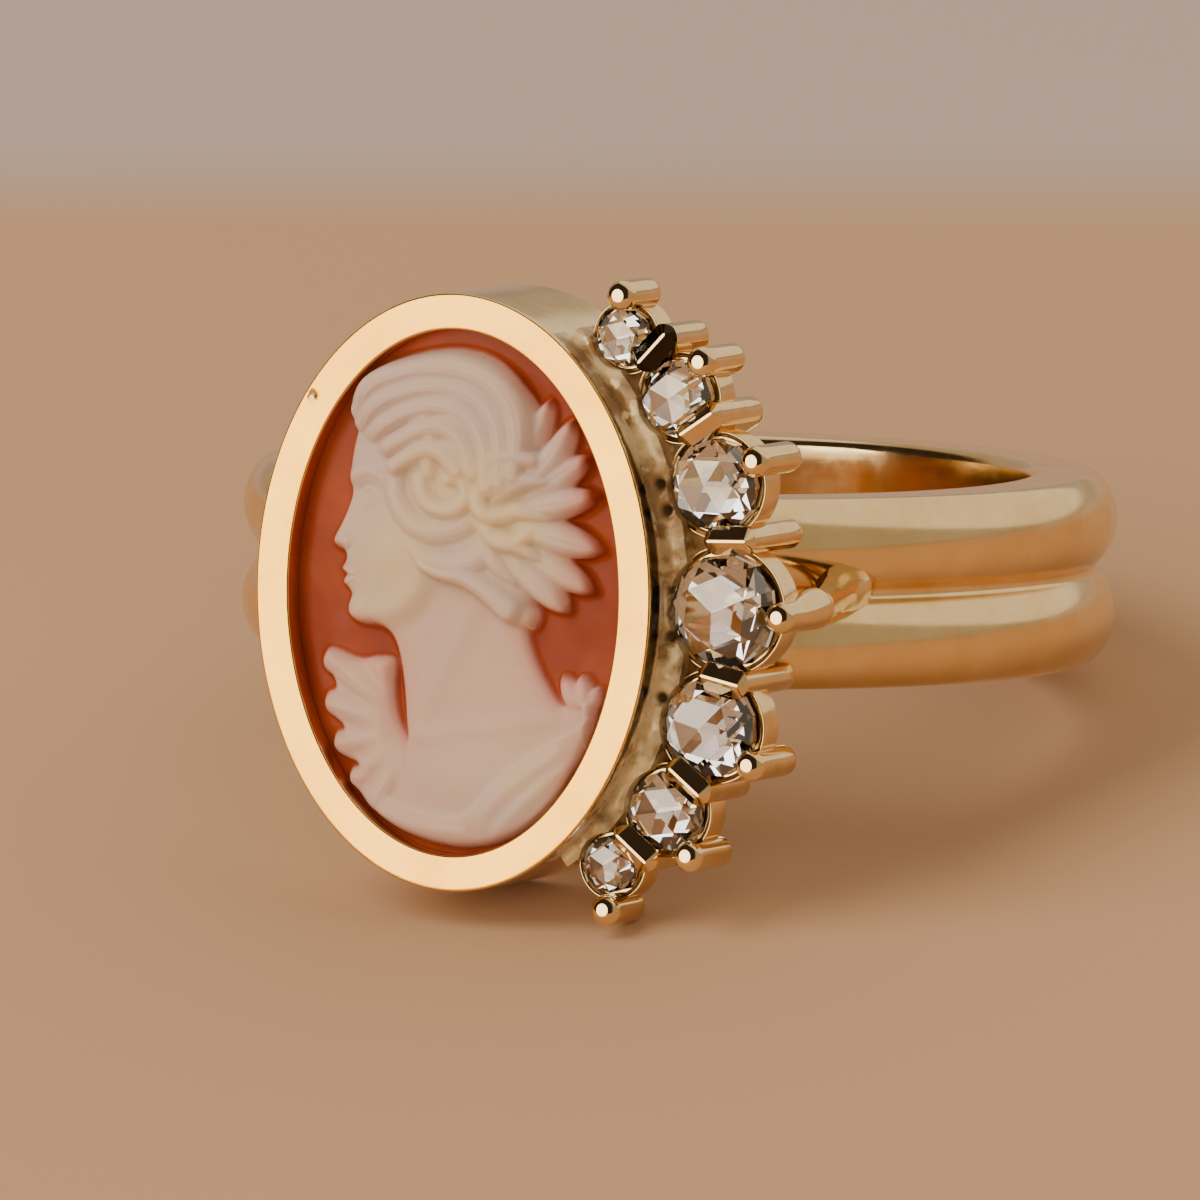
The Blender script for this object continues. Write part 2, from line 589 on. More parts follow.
def bust_height(x, y):
    d = depth_in(x, y, smooth_line(BROW + NOSE + LIPS + CHIN + THROAT + HEM + SHOULDER + NAPE, closed=True))
    h = 0.34 * dome(d, 0.20) + 0.16 * dome(d, 0.75) + 0.14 * bump(x, y, (-1.2, 1.7), (1.7, 2.4))
    h += face_height(x, y)
    jaw = smooth_line(JAW)
    low = np.where(within(x, y, np.vstack([jaw, BELOW_JAW])), 1, -1) * along(x, y, jaw)[0]
    h += 0.03 * np.exp(-((low + 0.18) / 0.24) ** 2) - 0.16 * step(low, -0.12, 0.42)
    h += 0.045 * crease(x, y, [(0.75, 0.2), (0.1, -1.2), (-0.7, -2.7), (-1.0, -3.4)], 0.32)
    h += 0.03 * crease(x, y, [(-1.0, -3.55), (0.2, -3.3), (1.6, -3.1), (2.6, -2.9)], 0.22)
    h += 0.12 * bump(x, y, (0.6, -4.4), (1.9, 1.1))
    g = depth_in(x, y, smooth_line(NECKLINE, closed=True))
    gown = 0.09 * dome(g, 0.12) + sum(0.06 * crease(x, y, line, width) for line, width in GOWN_FOLDS)
    return np.where(d > 0, h + np.where(g > 0, gown * dome(d, 0.25), 0), 0)


def ruffle_height(x, y):
    lobes = [p for centre, radius in RUFFLE_LOBES for p in arc(centre, radius, 100, 260, 4)]
    d = depth_in(x, y, smooth_line(RUFFLE_TOP + lobes + RUFFLE_INNER, closed=True))
    fan, reach = np.arctan2(y + 3.4, x + 1.0), np.hypot(x + 1.0, y + 3.4)
    h = 0.30 * dome(d, 0.22) + 0.12 * dome(d, 0.9)
    for folds, height, start, end in ((15, 0.06, 0.9, 1.8), (60, 0.012, 1.2, 2.0)):
        h += height * np.cos(fan * folds) * np.clip(d / 0.3, 0, 1) * step(reach, start, end)
    h *= 1 - 0.25 * step(x, -2.0, -1.4) * step(y, -4.2, -3.4)
    return np.where(d > 0, h, 0)


def leaf_height(x, y, points, width, top):
    """Pointed leaf with a groove along its middle."""
    d, t = along(x, y, smooth_line(points))
    q = d / (width * (0.22 + 0.78 * np.clip(np.sin(np.pi * t ** 0.85), 0, 1) ** 0.8))
    rise = top * (0.45 + 0.55 * np.sin(np.pi * (0.25 + 0.6 * t))) * np.sqrt(np.clip(1 - q ** 2, 0, 1))
    return np.where(q < 1, rise - 0.05 * np.exp(-(d / 0.055) ** 2) * np.sin(np.pi * t), 0)


def hair_height(x, y):
    d = depth_in(x, y, smooth_line(HAIR, closed=True))
    crown = bump(x, y, (-0.1, 3.2), (1.8, 2.2))
    turn = np.arctan2(y - 1.67, x + 0.1)
    wave = d + 0.11 * np.sin(5 * turn + 0.6) + 0.03 * np.sin(13 * turn)
    h = 0.42 * dome(d, 0.30) + 0.24 * dome(d, 1.0) + 0.12 * crown - 0.05
    strands = 0.02 * np.cos(wave * 2 * np.pi / 0.26) + 0.008 * np.cos(wave * 2 * np.pi / 0.11)
    h += strands * step(d, 0.0, 0.3)
    h = np.where(d > 0, h, 0)
    for points, start, end in TRESSES:
        e, t = along(x, y, smooth_line(points))
        width = start + (end - start) * t
        q = np.sqrt(np.clip(1 - (e / width) ** 2, 0, 1))
        lock = 0.78 + 0.12 * crown - 0.25 * (1 - step(t, 0, 0.12)) + 0.14 * q
        lock += 0.014 * np.cos(2 * np.pi * e / 0.14 + 1.5 * np.sin(7 * t))
        lock *= (0.75 + 0.25 * q) * dome(d + 0.05, 0.25) ** 0.7
        h = np.where((e < width) & (d > -0.05), np.maximum(h, lock), h)
    return h


def lock_height(x, y, points, start, end, top):
    """Rounded lock of hair with fine strands along it."""
    e, t = along(x, y, smooth_line(points))
    width = start + (end - start) * t
    q = np.sqrt(np.clip(1 - (e / width) ** 2, 0, 1))
    strands = 0.012 * np.cos(2 * np.pi * e / 0.12 + 2 * np.sin(5 * t))
    return np.where(e < width, top - 0.10 * (2 * t - 1) ** 2 - 0.26 * (1 - q) + strands, 0)


def softened(h, share, reach):
    """Blend of the heights with their own blur over reach cells."""
    weights = np.exp(-(np.arange(-3 * reach, 3 * reach + 1) / reach) ** 2 / 2)
    weights /= weights.sum()
    blurred = np.pad(h, 3 * reach, mode="edge")
    for axis in (0, 1):
        blurred = np.apply_along_axis(np.convolve, axis, blurred, weights, "valid")
    return h + share * (blurred - h)


def carved_height(x, y):
    """Height of the whole figure over the ground: at each place, the highest of its parts."""
    h = bust_height(x, y)
    for part, where in ((ruffle_height, (x < -0.9) & (y < -1.2)), (hair_height, y > -0.8)):
        h[where] = np.maximum(h[where], part(x[where], y[where]))
    for rows, part, near in ((FRILLS, leaf_height, (x > 2.4) & (y < -1.4)),
                             (LEAVES, leaf_height, (x > 0.5) & (y > -1.3)),
                             (LOCKS, lock_height, (x > -2) & (y > -1))):
        for line in rows:
            h[near] = np.maximum(h[near], part(x[near], y[near], *line))
    return softened(h, 0.6, 2)


# Settings

def length(name, description, mm):
    return FloatProperty(name=name, description=description, default=mm * MM, min=0, precision=5,
                         unit="LENGTH")


def colour(name, description, value):
    return FloatVectorProperty(name=name, description=description, default=value, size=3, min=0, max=1,
                               subtype="COLOR")


class RingSizes(bpy.types.PropertyGroup):
    finger_d: length("Finger hole", "Inside diameter of the band", 17.2)
    band_t: length("Band thickness", "Thickness of the band at the crest of a rib", 2.18)
    band_w: length("Band width", "Width of the band along the finger", 4.64)
    rib_r: length("Rib radius", "Radius of the round top of each rib", 1.4)
    rib_gap: length("Rib spacing", "Distance between the middles of the two ribs", 2.36)
    groove_round: length("Groove rounding", "Rounding at the bottom of the groove", 0.2)
    band_edge: length("Outer rounding", "Rounding of the band's outer edges", 0.5)
    inner_round: length("Inner rounding", "Rounding of the band's inner edges", 0.25)
    bezel_w: length("Bezel width", "Width of the oval bezel across the finger", 10.62)
    bezel_l: length("Bezel height", "Height of the oval bezel along the finger", 14.48)
    rim_w: length("Rim width", "Width of the flat polished rim", 0.87)
    bezel_front: length("Rim distance", "Distance from the finger axis to the rim", 12.49)
    bezel_back: length("Bezel back", "Distance from the finger axis to the wall's back edge", 8.7)
    ledge_w: length("Ledge width", "Width of the ledge behind the cameo", 0.7)
    ledge_t: length("Ledge thickness", "Thickness of the ledge behind the cameo", 0.8)
    edge_round: length("Edge rounding", "Rounding of the rim's polished edges", 0.05)
    cameo_drop: length("Cameo depth", "Depth of the cameo's edge below the rim", 0.55)
    ground_rise: length("Ground rise", "Rise of the cameo's ground to its middle", 0.2)
    shell_t: length("Shell thickness", "Thickness of the cameo at its edge", 1.3)
    girdle_z: length("Stone level", "Distance from the finger axis to the stones' widest part", 11.55)
    girdle_t: length("Stone edge", "Height of a stone's straight edge", 0.22)
    collar_drop: length("Collar drop", "Depth of a collar's top below the stones' widest part", 0.15)
    collar_t: length("Collar thickness", "Thickness of a collar's wall", 0.2)
    claw_d: length("Claw thickness", "Thickness of a claw", 0.76)
    claw_flat: length("Claw flat", "Width of the small flat on a claw's tip", 0.22)
    claw_rise: length("Claw rise", "Height of a claw's tip above the stones' widest part", 0.76)
    bar_l: length("Bar length", "Length of a divider bar", 1.4)
    bar_t: length("Bar thickness", "Thickness of a divider bar", 0.7)
    bar_rise: length("Bar rise", "Height of a bar's ridge above the stones' widest part", 0.5)
    bar_roof: length("Bar roof", "Height of the sloped front of a bar", 0.24)
    bar_point: length("Bar point", "Length of the point at each end of a bar", 0.18)
    strip_low: length("Gallery back", "Distance from the finger axis to the gallery's back", 10.6)
    strip_high: length("Gallery face", "Distance from the finger axis to the gallery's face", 11.76)
    strip_w: length("Gallery width", "Width of the gallery strip at the middle stone", 0.62)
    carving_columns: IntProperty(name="Carving columns", description="Columns of the cameo's surface",
                                 default=250, min=40, max=260)
    carving_rows: IntProperty(name="Carving rows", description="Rows of the cameo's surface",
                              default=350, min=60, max=370)


class RingColours(bpy.types.PropertyGroup):
    gold: colour("Gold", "Colour of the polished gold", (0.93, 0.68, 0.36))
    rim: colour("Rim gold", "Colour of the bezel's gold", (1.0, 0.53, 0.07))
    ground: colour("Shell ground", "Colour of the cameo's orange-red ground", (0.28, 0.042, 0.009))
    white: colour("Shell white", "Colour of the carved white layer", (0.55, 0.385, 0.30))
    cream: colour("Shell cream", "Colour of the thickest parts of the carving", (0.62, 0.45, 0.25))
    stone: colour("Stone", "Colour of the clear stones", (0.96, 0.93, 0.92))
    floor: colour("Floor", "Colour of the floor under the ring", (0.50, 0.29, 0.155))
    backdrop: colour("Far floor", "Colour of the floor far behind the ring", (0.48, 0.36, 0.31))


class RingStage(bpy.types.PropertyGroup):
    direction: FloatProperty(name="View direction", description="Angle of the view round the finger hole",
                             default=math.radians(26.19), unit="ROTATION")
    elevation: FloatProperty(name="View elevation", description="Angle of the view above the ring's middle",
                             default=math.radians(5.23), unit="ROTATION")
    roll: FloatProperty(name="View roll", description="Turn of the camera about its own axis",
                        default=math.radians(1.15), unit="ROTATION")
    distance: FloatProperty(name="View distance", description="Distance of the camera",
                            default=0.4786, unit="LENGTH")
    across: FloatProperty(name="View shift across", default=-0.001964, precision=5, unit="LENGTH",
                          description="Place of the camera to the right of the finger hole")
    upward: FloatProperty(name="View shift up", default=-0.001077, precision=5, unit="LENGTH",
                          description="Place of the camera above the finger hole")
    lens: FloatProperty(name="Lens", description="Focal length on a 36 mm sensor",
                        default=581.8, unit="CAMERA")
    floor_size: FloatProperty(name="Floor size", description="Length of the floor's side",
                              default=6.0, unit="LENGTH")


# Operators

class RING_OT_stage(bpy.types.Operator):
    """Makes the floor, the lights and the camera at the photographed angle"""
    bl_idname = "cameo_ring.stage"
    bl_label = "Stage"

    # Name, place, size, power and colour of each, and whether polished gold mirrors it
    lamps = [
        ("front_light", (-0.211, -0.432, 0.138), 0.34, 1.34, (1.0, 0.91, 0.73), True),
        ("back_light", (0.18, 0.36, 0.444), 1.33, 2.4, (1.0, 0.93, 0.80), True),
        ("fill_light", (-0.3, -0.28, 0.52), 0.5, 3.4, (1.0, 0.96, 0.93), False),
        ("side_fill", (0.26, -0.50, 0.22), 0.4, 1.6, (1.0, 0.95, 0.88), False)]

    def execute(self, context):
        view = context.scene.cameo_stage
        self.make_camera(view)
        self.make_floor(view.floor_size / 2)
        self.make_world()
        for lamp in self.lamps:
            self.make_lamp(*lamp)
        return {"FINISHED"}

    def make_lamp(self, name, place, size, power, tint, mirrored):
        data = bpy.data.lights.new(name, "AREA")
        data.shape = "DISK"
        data.size = size
        data.energy = power
        data.color = tint
        lamp = bpy.data.objects.new(name, data)
        lamp.location = place
        lamp.rotation_mode = "QUATERNION"
        lamp.rotation_quaternion = (-Vector(place)).to_track_quat("-Z", "Y")
        lamp.visible_glossy = mirrored
        bpy.context.scene.collection.objects.link(lamp)

    def make_floor(self, half):
        low = cad_box[0].z
        corners = [(x, y, low) for x, y in ((-half, -half), (half, -half), (half, half), (-half, half))]
        mesh = bpy.data.meshes.new("floor")
        mesh.from_pydata(corners, [], [(0, 1, 2, 3)])
        mesh.materials.append(floor_finish(tone("floor"), tone("backdrop")))
        floor = bpy.data.objects.new("floor", mesh)
        bpy.context.scene.collection.objects.link(floor)

    def make_camera(self, view):
        """Camera placed in the head frame with z towards the viewer, then turned into the row frame."""
        a, e, r = view.direction, view.elevation, view.roll
        back = Vector((math.sin(a) * math.cos(e), -math.cos(a) * math.cos(e), math.sin(e)))
        side = Vector((math.cos(a), math.sin(a), 0))
        top = back.cross(side)
        right = math.cos(r) * side + math.sin(r) * top
        up = math.cos(r) * top - math.sin(r) * side
        eye = back * view.distance + right * view.across + up * view.upward
        place = [to_row((v.x, v.z, -v.y)) / MM for v in (eye, right, up, back)]
        camera = bpy.data.objects.new("camera", bpy.data.cameras.new("camera"))
        camera.data.sensor_width = 36
        camera.data.lens = view.lens
        camera.data.clip_start = 0.01
        camera.data.clip_end = 20
        turn = Matrix([place[1], place[2], place[3]]).transposed().to_4x4()
        camera.matrix_world = Matrix.Translation(Vector(place[0])) @ turn
        bpy.context.scene.collection.objects.link(camera)
        bpy.context.scene.camera = camera

    def make_world(self):
        """Room that is pale behind the ring and to its right, and dark in front, above and to the left."""
        dark_side = (-0.35, -0.7, 0.42)
        pale, dark = (0.46, 0.385, 0.27, 1), (0.035, 0.025, 0.02, 1)
        pale_end, dark_start = 0.22, 0.40
        world = bpy.data.worlds.new("studio")
        world.use_nodes = True
        tree = world.node_tree
        place = tree.nodes.new("ShaderNodeTexCoord")
        toward = tree.nodes.new("ShaderNodeVectorMath")
        toward.operation = "DOT_PRODUCT"
        toward.inputs[1].default_value = dark_side
        ramp = tree.nodes.new("ShaderNodeValToRGB")
        tree.links.new(place.outputs["Generated"], toward.inputs[0])
        tree.links.new(toward.outputs["Value"], ramp.inputs["Fac"])
        for end, (position, light) in zip(ramp.color_ramp.elements, ((pale_end, pale), (dark_start, dark))):
            end.position = position
            end.color = light
        tree.links.new(ramp.outputs["Color"], tree.nodes["Background"].inputs["Color"])
        tree.nodes["Background"].inputs["Strength"].default_value = 1.0
        bpy.context.scene.world = world


class RING_OT_band(bpy.types.Operator):
    """Makes the band with its two round ribs"""
    bl_idname = "cameo_ring.band"
    bl_label = "Band"

    def execute(self, context):
        s = sizes_now()
        steps = 320
        section = self.section(s)
        points = turned(section, steps, "y")
        # inside the bezel the band ends in the ledge, under the cameo
        half_w, half_l = s["half_w"] - s["rim_w"] / 2, s["half_l"] - s["rim_w"] / 2
        inside = (points[:, 0] / half_w) ** 2 + (points[:, 1] / half_l) ** 2 < 1
        hidden = inside & (points[:, 2] > 0)
        points[hidden, 2] = np.minimum(points[hidden, 2], s["ledge_z"] - s["ledge_t"] / 2)
        gold = gold_finish("band_gold", tone("gold"), 0.17, 0.35, 700, 0.3)
        new_piece("band", points, loop_faces(steps, len(section)), gold, "gold_mount")
        return {"FINISHED"}

    def section(self, s):
        """Outline of the band, cut across: one half from the finger hole to the groove, then its mirror."""
        polish = 0.01
        half, hole, inner, edge = s["band_w"] / 2, s["finger_d"] / 2, s["inner_round"], s["band_edge"]
        rib_c, rib_y = hole + s["band_t"] - polish - s["rib_r"], s["rib_gap"] / 2
        edge_y, groove = half - edge, s["groove_round"]
        edge_c = rib_c + math.sqrt((s["rib_r"] - edge) ** 2 - (edge_y - rib_y) ** 2)
        groove_c = rib_c + math.sqrt((s["rib_r"] + groove) ** 2 - rib_y ** 2)
        turn = math.degrees(math.atan2(edge_y - rib_y, edge_c - rib_c))
        meet = math.degrees(math.atan2(rib_y, groove_c - rib_c))
        top = arc((hole + inner, half - inner), inner, 180, 90, 6)
        top += [(r, half) for r in np.linspace(hole + inner, edge_c, 9)[1:-1]]
        top += arc((edge_c, edge_y), edge, 90, turn, 10) + arc((rib_c, rib_y), s["rib_r"], turn, -meet, 36, 1)
        top += arc((groove_c, 0), groove, 180 - meet, 180, 5, 1)
        flat = [(hole, y) for y in np.linspace(inner - half, half - inner, 9)[1:-1]]
        return top + [(r, -y) for r, y in top[-2::-1]] + flat


class RING_OT_bezel(bpy.types.Operator):
    """Makes the oval bezel with its flat rim, wall and ledge"""
    bl_idname = "cameo_ring.bezel"
    bl_label = "Bezel"

    # Nicks in the rim: place, depth and reach in mm. The first is tarnished.
    nicks = [((-3.9, 4.545), 0.05, 0.12), ((4.35, 2.81), 0.03, 0.05), ((4.9, 2.87), 0.03, 0.05)]
    # Degrees from the strip's middle: where the tarnish thins, where it ends, and where the dull foot ends
    tarnish_thins, tarnish_ends, foot_end = (12, 44), (50, 66), 62
    # Least depth of the tarnish under the rim, and how much more of it there is at the strip's middle
    tarnish_min, tarnish_more = 0.10, 0.36
    foot_colour = (1.0, 0.84, 0.58)

    def execute(self, context):
        s = sizes_now()
        steps = 400
        front = s["bezel_front"]
        section = self.section(s)
        turn = np.arange(steps) * 360 / steps
        rings = [np.column_stack([oval(s["half_w"] - inset, s["half_l"] - inset, turn), np.full(steps, z)])
                 for inset, z in section]
        points = np.stack(rings, 1).reshape(-1, 3)
        on_rim = points[:, 2] > front - 0.3 * s["edge_round"]
        for place, depth, reach in self.nicks:
            points[on_rim, 2] -= dips(points[on_rim, :2], [np.array(place)], depth, reach)
        gold = gold_finish("rim_gold", tone("rim"), 0.17, 0.3, 500, 0.35)
        faces = loop_faces(steps, len(section))
        bezel = new_piece("bezel", points, faces, gold, "gold_mount", corner=40)
        bezel.data.materials.append(gold_finish("wall_gold", tone("gold"), 0.17, 0.35, 700, 0.3))
        bezel.data.materials.append(gallery_finish("foot_gold", self.foot_colour))
        for face in bezel.data.polygons:
            x, y, z = HEAD @ face.center / MM
            beside = abs(math.degrees(math.atan2(y / s["half_l"], x / s["half_w"])))
            foot_top = front - self.tarnish_depth(beside) - 0.04
            foot = s["strip_high"] - 0.1 < z < foot_top and beside < self.foot_end
            face.material_index = 2 if foot else int(z < front - 0.4 * s["edge_round"])
        self.tarnish(bezel, s, section, turn, points)
        return {"FINISHED"}

    def section(self, s):
        """Outline of the wall, cut across: distance inwards from its outside, and height."""
        e, front, back, rim = s["edge_round"], s["bezel_front"], s["bezel_back"], s["rim_w"]
        ledge, ledge_top, ledge_low = rim + s["ledge_w"], s["ledge_z"], s["ledge_z"] - s["ledge_t"]
        wall = [(0, z) for z in np.linspace(back + e, front - e, 38)]
        outer = [(e - x, z) for x, z in arc((0, front - e), e, 0, 90, 4, 1)]
        flat = [(x, front) for x in np.linspace(e, rim - e, 12)[1:-1]]
        inner = [(rim - e + x, z) for x, z in arc((0, front - e), e, 90, 0, 4)]
        seat = [(rim, ledge_top), (ledge, ledge_top), (ledge, ledge_low), (rim, ledge_low),
                (rim, back + e), (rim - e, back), (e, back)]
        return np.array(wall + outer + flat + inner + seat)

    def tarnish_depth(self, beside):
        return self.tarnish_min + self.tarnish_more * (1 - step(beside, *self.tarnish_thins))

    def tarnish(self, bezel, s, section, turn, points):
        """Dirt in the corner over the gallery strip, and in the first nick."""
        e, front = s["edge_round"], s["bezel_front"]
        beside = np.abs((turn + 180) % 360 - 180)[:, None]
        low = step(section[:, 1] + self.tarnish_depth(beside), front - 0.06, front)
        high = step(section[:, 1], front - 0.07, front - 0.03)
        corner = (1 - step(beside, *self.tarnish_ends)) * (low - high) * (section[:, 0] < 2 * e)
        place, _, reach = self.nicks[0]
        nick = dips(points[:, :2], [np.array(place)], 0.5, reach) * (points[:, 2] > front - 2 * e)
        paint(bezel, "dirt", 0.95 * corner.reshape(-1) + nick)


class RING_OT_gallery(bpy.types.Operator):
    """Makes the pitted gallery strip and the stones' collars"""
    bl_idname = "cameo_ring.gallery"
    bl_label = "Gallery"

    # Place of each pit: degrees round the oval, and distance from the wall
    pits = [(22.7, 0.22), (17.5, 0.25), (2.2, 0.2), (-6.2, 0.2), (-18, 0.22)]
    pit_depth, pit_reach = 0.26, 0.13
    # Half its length in degrees, and the share of its width that it loses at the ends
    strip_end, strip_taper = 60, 0.5
    # The uneven face: height and size of its waves, depth of its worn edge, and how far it lies below the
    # gallery face
    wave_h, wave_size, worn_edge, face_drop = 0.03, 0.4, 0.05, 0.033

    def execute(self, context):
        s = sizes_now()
        self.make_strip(s, gallery_finish("gallery_gold", tone("gold")))
        bright = gold_finish("collar_gold", tone("gold"), 0.12, 0.4, 1200, 0.3)
        for i in range(STONE_COUNT):
            self.make_collar(i, s, bright)
        return {"FINISHED"}

    def make_strip(self, s, gold):
        across, along_steps = 16, 420
        turn = np.linspace(-self.strip_end, self.strip_end, along_steps)
        wall, out = oval(s["half_w"], s["half_l"], turn), oval_out(turn, s)
        under_rim = s["rim_w"] / 2
        inner = oval(s["half_w"] - under_rim, s["half_l"] - under_rim, turn)
        outer = wall + self.width(s, turn, wall, out)[:, None] * out
        share = np.linspace(0, 1, across)[None, :, None]
        flat = inner[:, None, :] * (1 - share) + outer[:, None, :] * share
        places = [oval(s["half_w"], s["half_l"], a) + off * oval_out(a, s) for a, off in self.pits]
        drop = dips(flat.reshape(-1, 2), places, self.pit_depth, self.pit_reach).reshape(along_steps, across)
        waves = self.wave_h * uneven(flat.reshape(-1, 2), self.wave_size).reshape(along_steps, across)
        face = s["strip_high"] - self.face_drop - drop + waves - self.worn_edge * share[..., 0] ** 6
        top = np.dstack([flat, face])
        low = np.full((along_steps, 1), s["strip_low"])
        rings = np.concatenate([top, np.dstack([outer[:, None], low]), np.dstack([inner[:, None], low])], 1)
        columns = rings.shape[1]
        faces = loop_faces(along_steps, columns, close_rows=False) + end_faces(along_steps, columns)
        strip = new_piece("gallery_strip", rings.reshape(-1, 3), faces, gold, "gold_mount", corner=50)
        dirt = np.zeros(rings.shape[:2])
        dirt[:, :across] = np.maximum(np.clip(drop / 0.14, 0, 1), self.notch_dirt(s, flat))
        paint(strip, "dirt", dirt)

    def width(self, s, turn, wall, out):
        """Width of the strip: it narrows to its ends, and stops at each stone's seat."""
        width = s["strip_w"] * (1 - self.strip_taper * (turn / self.strip_end) ** 2)
        for i in range(STONE_COUNT):
            to_stone = stone_place(i, s) - wall
            ahead = (to_stone * out).sum(-1)
            beside2 = (to_stone ** 2).sum(-1) - ahead ** 2
            reach2 = (stone_radius(i) + 2 * GAP) ** 2 - beside2
            width = np.where(reach2 > 0, np.minimum(width, ahead - np.sqrt(np.maximum(reach2, 0))), width)
        return np.maximum(width, 0.02)

    def notch_dirt(self, s, flat):
        """Dirt in the notches between the stones, wider beside the middle one."""
        dirt = np.zeros(flat.shape[:2])
        for i in range(STONE_COUNT - 1):
            middle, out_line, _ = bar_place(i, s)
            notch = middle - (s["bar_l"] / 2 + 0.35) * out_line
            reach = 0.42 if MIDDLE in (i, i + 1) else 0.3
            away = np.linalg.norm(flat - notch, axis=-1) / reach
            dirt = np.maximum(dirt, 0.75 * np.exp(-away ** 2))
        return dirt

    def make_collar(self, i, s, gold):
        r = stone_radius(i)
        lip, ledge, outer = 0.03, 0.2, r + s["collar_t"]
        top, low = s["girdle_z"] - s["collar_drop"], s["strip_low"]
        seat = s["girdle_z"] - s["girdle_t"] - GAP
        outside = [(outer, low + lip), (outer, top - lip)]
        outside += [(outer - lip + x, top - lip + y) for x, y in arc((0, 0), lip, 0, 90, 4, 1)]
        inside = [(outer - 1.5 * lip, top - 0.2 * lip), (r + GAP, top - 0.1), (r + GAP, seat),
                  (r - ledge, seat), (r - ledge, low), (outer - lip, low)]
        section = outside + inside
        steps = 72
        points = turned(section, steps)
        points[:, :2] += stone_place(i, s)
        faces = loop_faces(steps, len(section))
        new_piece(f"collar_{i + 1}", points, faces, gold, "gold_mount", corner=35)


class RING_OT_claws(bpy.types.Operator):
    """Makes the seven round claws and the neck that joins the middle one to the band"""
    bl_idname = "cameo_ring.claws"
    bl_label = "Claws"

    steps = 40
    # Where the neck ends, inside the groove
    neck_end = (7.62, 0.22, 6.55)
    # Radius of the neck in mm, and share of its length
    neck_rings = [(0.40, 0), (0.41, 0.2), (0.40, 0.35), (0.42, 0.5), (0.48, 0.65), (0.58, 0.8), (0.70, 0.92),
                  (0.78, 1)]
    # Solder on the back of the middle claw: how much thicker, how far off its axis, over what length
    solder_swell, solder_shift, solder_l = 0.36, 0.1, 1.4
    # What polish takes off a claw's radius
    polish = 0.001

    def execute(self, context):
        s = sizes_now()
        gold = gold_finish("claw_gold", tone("gold"), 0.07, 0.4, 1500, 0.2)
        for i in range(STONE_COUNT):
            self.make_root(i, s, gold)
            self.make_claw(i, s, gold)
        self.make_neck(s, gold)
        return {"FINISHED"}

    def make_claw(self, i, s, gold):
        r, flat = s["claw_d"] / 2 - self.polish, s["claw_flat"] / 2
        tip, low = s["tip_z"], s["tip_z"] - CLAW_LENGTH[row_of(i)] + r
        section = arc((0, low), r, -89, 0, 10) + [(r, low + d) for d in (0.3, 0.6, 0.9, 1.2)]
        section += arc((flat, tip - r + flat), r - flat, 0, 90, 12) + [(flat * 0.9, tip)]
        points = np.vstack([turned(section, self.steps), [(0, 0, low - r), (0, 0, tip)]])
        if i == MIDDLE:
            share = 1 - step(points[:, 2], low - 0.1, low - 0.1 + self.solder_l)
            points[:, :2] *= 1 + self.solder_swell * share[:, None]
            points[:, 1] += self.solder_shift * share
        points[:, :2] += claw_place(i, s)
        n, ends = len(section), self.steps * len(section)
        faces = loop_faces(self.steps, n, close_columns=False)
        for a in range(self.steps):
            here, there = a * n, (a + 1) % self.steps * n
            faces += [(here, ends, there), (here + n - 1, there + n - 1, ends + 1)]
        new_piece(f"claw_{i + 1}", points, faces, gold, "gold_mount")

    def make_root(self, i, s, gold):
        """Short web between a claw and its collar."""
        half, bevel, drop = 0.25, 0.06, 0.14
        centre = stone_place(i, s)
        away = claw_place(i, s) - centre
        start, end = stone_radius(i) + GAP, np.linalg.norm(away)
        away /= end
        across = np.array((-away[1], away[0]))
        low, top = s["strip_low"], s["girdle_z"] - s["girdle_t"] - drop
        section = [(-half, low + bevel), (-half + bevel, low), (half - bevel, low), (half, low + bevel),
                   (half, top - bevel), (half - bevel, top), (-half + bevel, top), (-half, top - bevel)]
        points = [(*(centre + d * away + w * across), z) for d in (start, end) for w, z in section]
        n = len(section)
        faces = loop_faces(2, n, close_rows=False) + end_faces(2, n)
        new_piece(f"claw_root_{i + 1}", points, faces, gold, "gold_mount", corner=50)

    def make_neck(self, s, gold):
        """Solder that runs from the middle claw's back end into the band's groove."""
        start = np.array((*claw_place(MIDDLE, s), s["tip_z"] - CLAW_LENGTH[0] + s["claw_d"] / 2))
        line = np.array(self.neck_end) - start
        reach = np.linalg.norm(line)
        line /= reach
        side = np.cross(line, (0, 1, 0))
        side /= np.linalg.norm(side)
        other = np.cross(line, side)
        rings = turned([(radius, share * reach) for radius, share in self.neck_rings], self.steps)
        wobble = 1 + 0.05 * np.sin(3 * np.arctan2(rings[:, 1], rings[:, 0]) + 4 * rings[:, 2])
        x, y, z = (rings * np.column_stack([wobble, wobble, np.ones(len(rings))])).T[..., None]
        points = start + x * side + y * other + z * line
        n = len(self.neck_rings)
        faces = loop_faces(self.steps, n, close_columns=False)
        first = tuple(a * n for a in range(self.steps))
        last = tuple(a + n - 1 for a in first[::-1])
        new_piece("neck", points, faces + [first, last], gold, "gold_mount")


